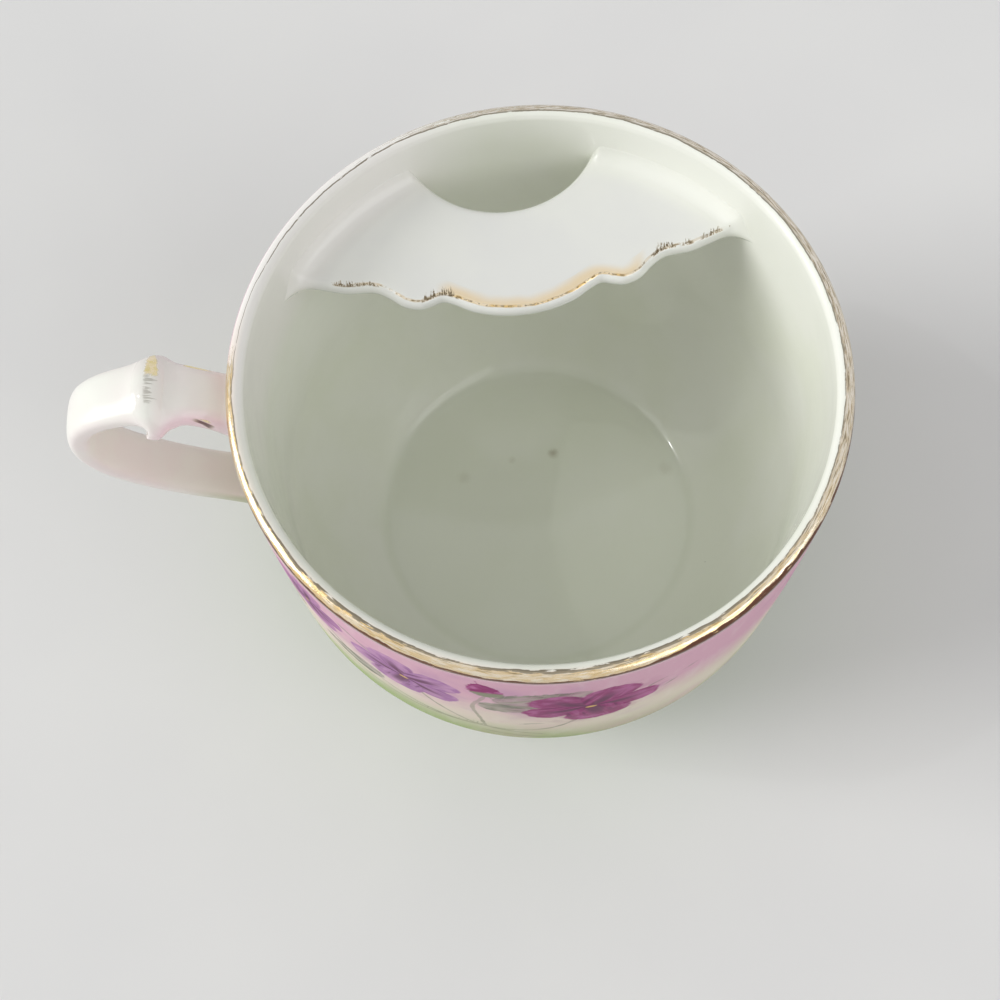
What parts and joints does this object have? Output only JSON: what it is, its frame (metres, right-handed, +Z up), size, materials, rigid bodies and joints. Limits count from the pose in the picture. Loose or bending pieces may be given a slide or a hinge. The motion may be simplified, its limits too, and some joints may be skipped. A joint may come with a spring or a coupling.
{
  "type": "mustache cup",
  "caption": "Round porcelain cup with a scalloped mustache guard and drinking hole under the rim, a strap handle with a thumb rest, and worn gilding.",
  "frame": {"origin": "on the cup's axis, in the plane of the foot ring that it stands on", "axes": "+Z up along the cup's axis, the handle points along -X, +Y towards the side that is drunk from, where the guard is"},
  "size_m": [0.1207, 0.0938, 0.073],
  "materials": {
    "body_porcelain": "clear glaze over white porcelain, outside ground shaded from lilac pink to cream and pale green with violets",
    "guard_porcelain": "clear glaze over white porcelain",
    "handle_porcelain": "clear glaze with a pale pink ground that is deeper along the edges",
    "rim_gold": "worn gold film with darker edges",
    "guard_gold": "worn gold film, brown where it has rubbed",
    "handle_gold": "worn gold film"
  },
  "bodies": {
    "root": {"cup_body": "body_porcelain", "mustache_guard": "guard_porcelain", "handle": "handle_porcelain", "rim_gilding": "rim_gold", "guard_gilding": "guard_gold", "handle_gilding": "handle_gold"}
  },
  "joints": []
}
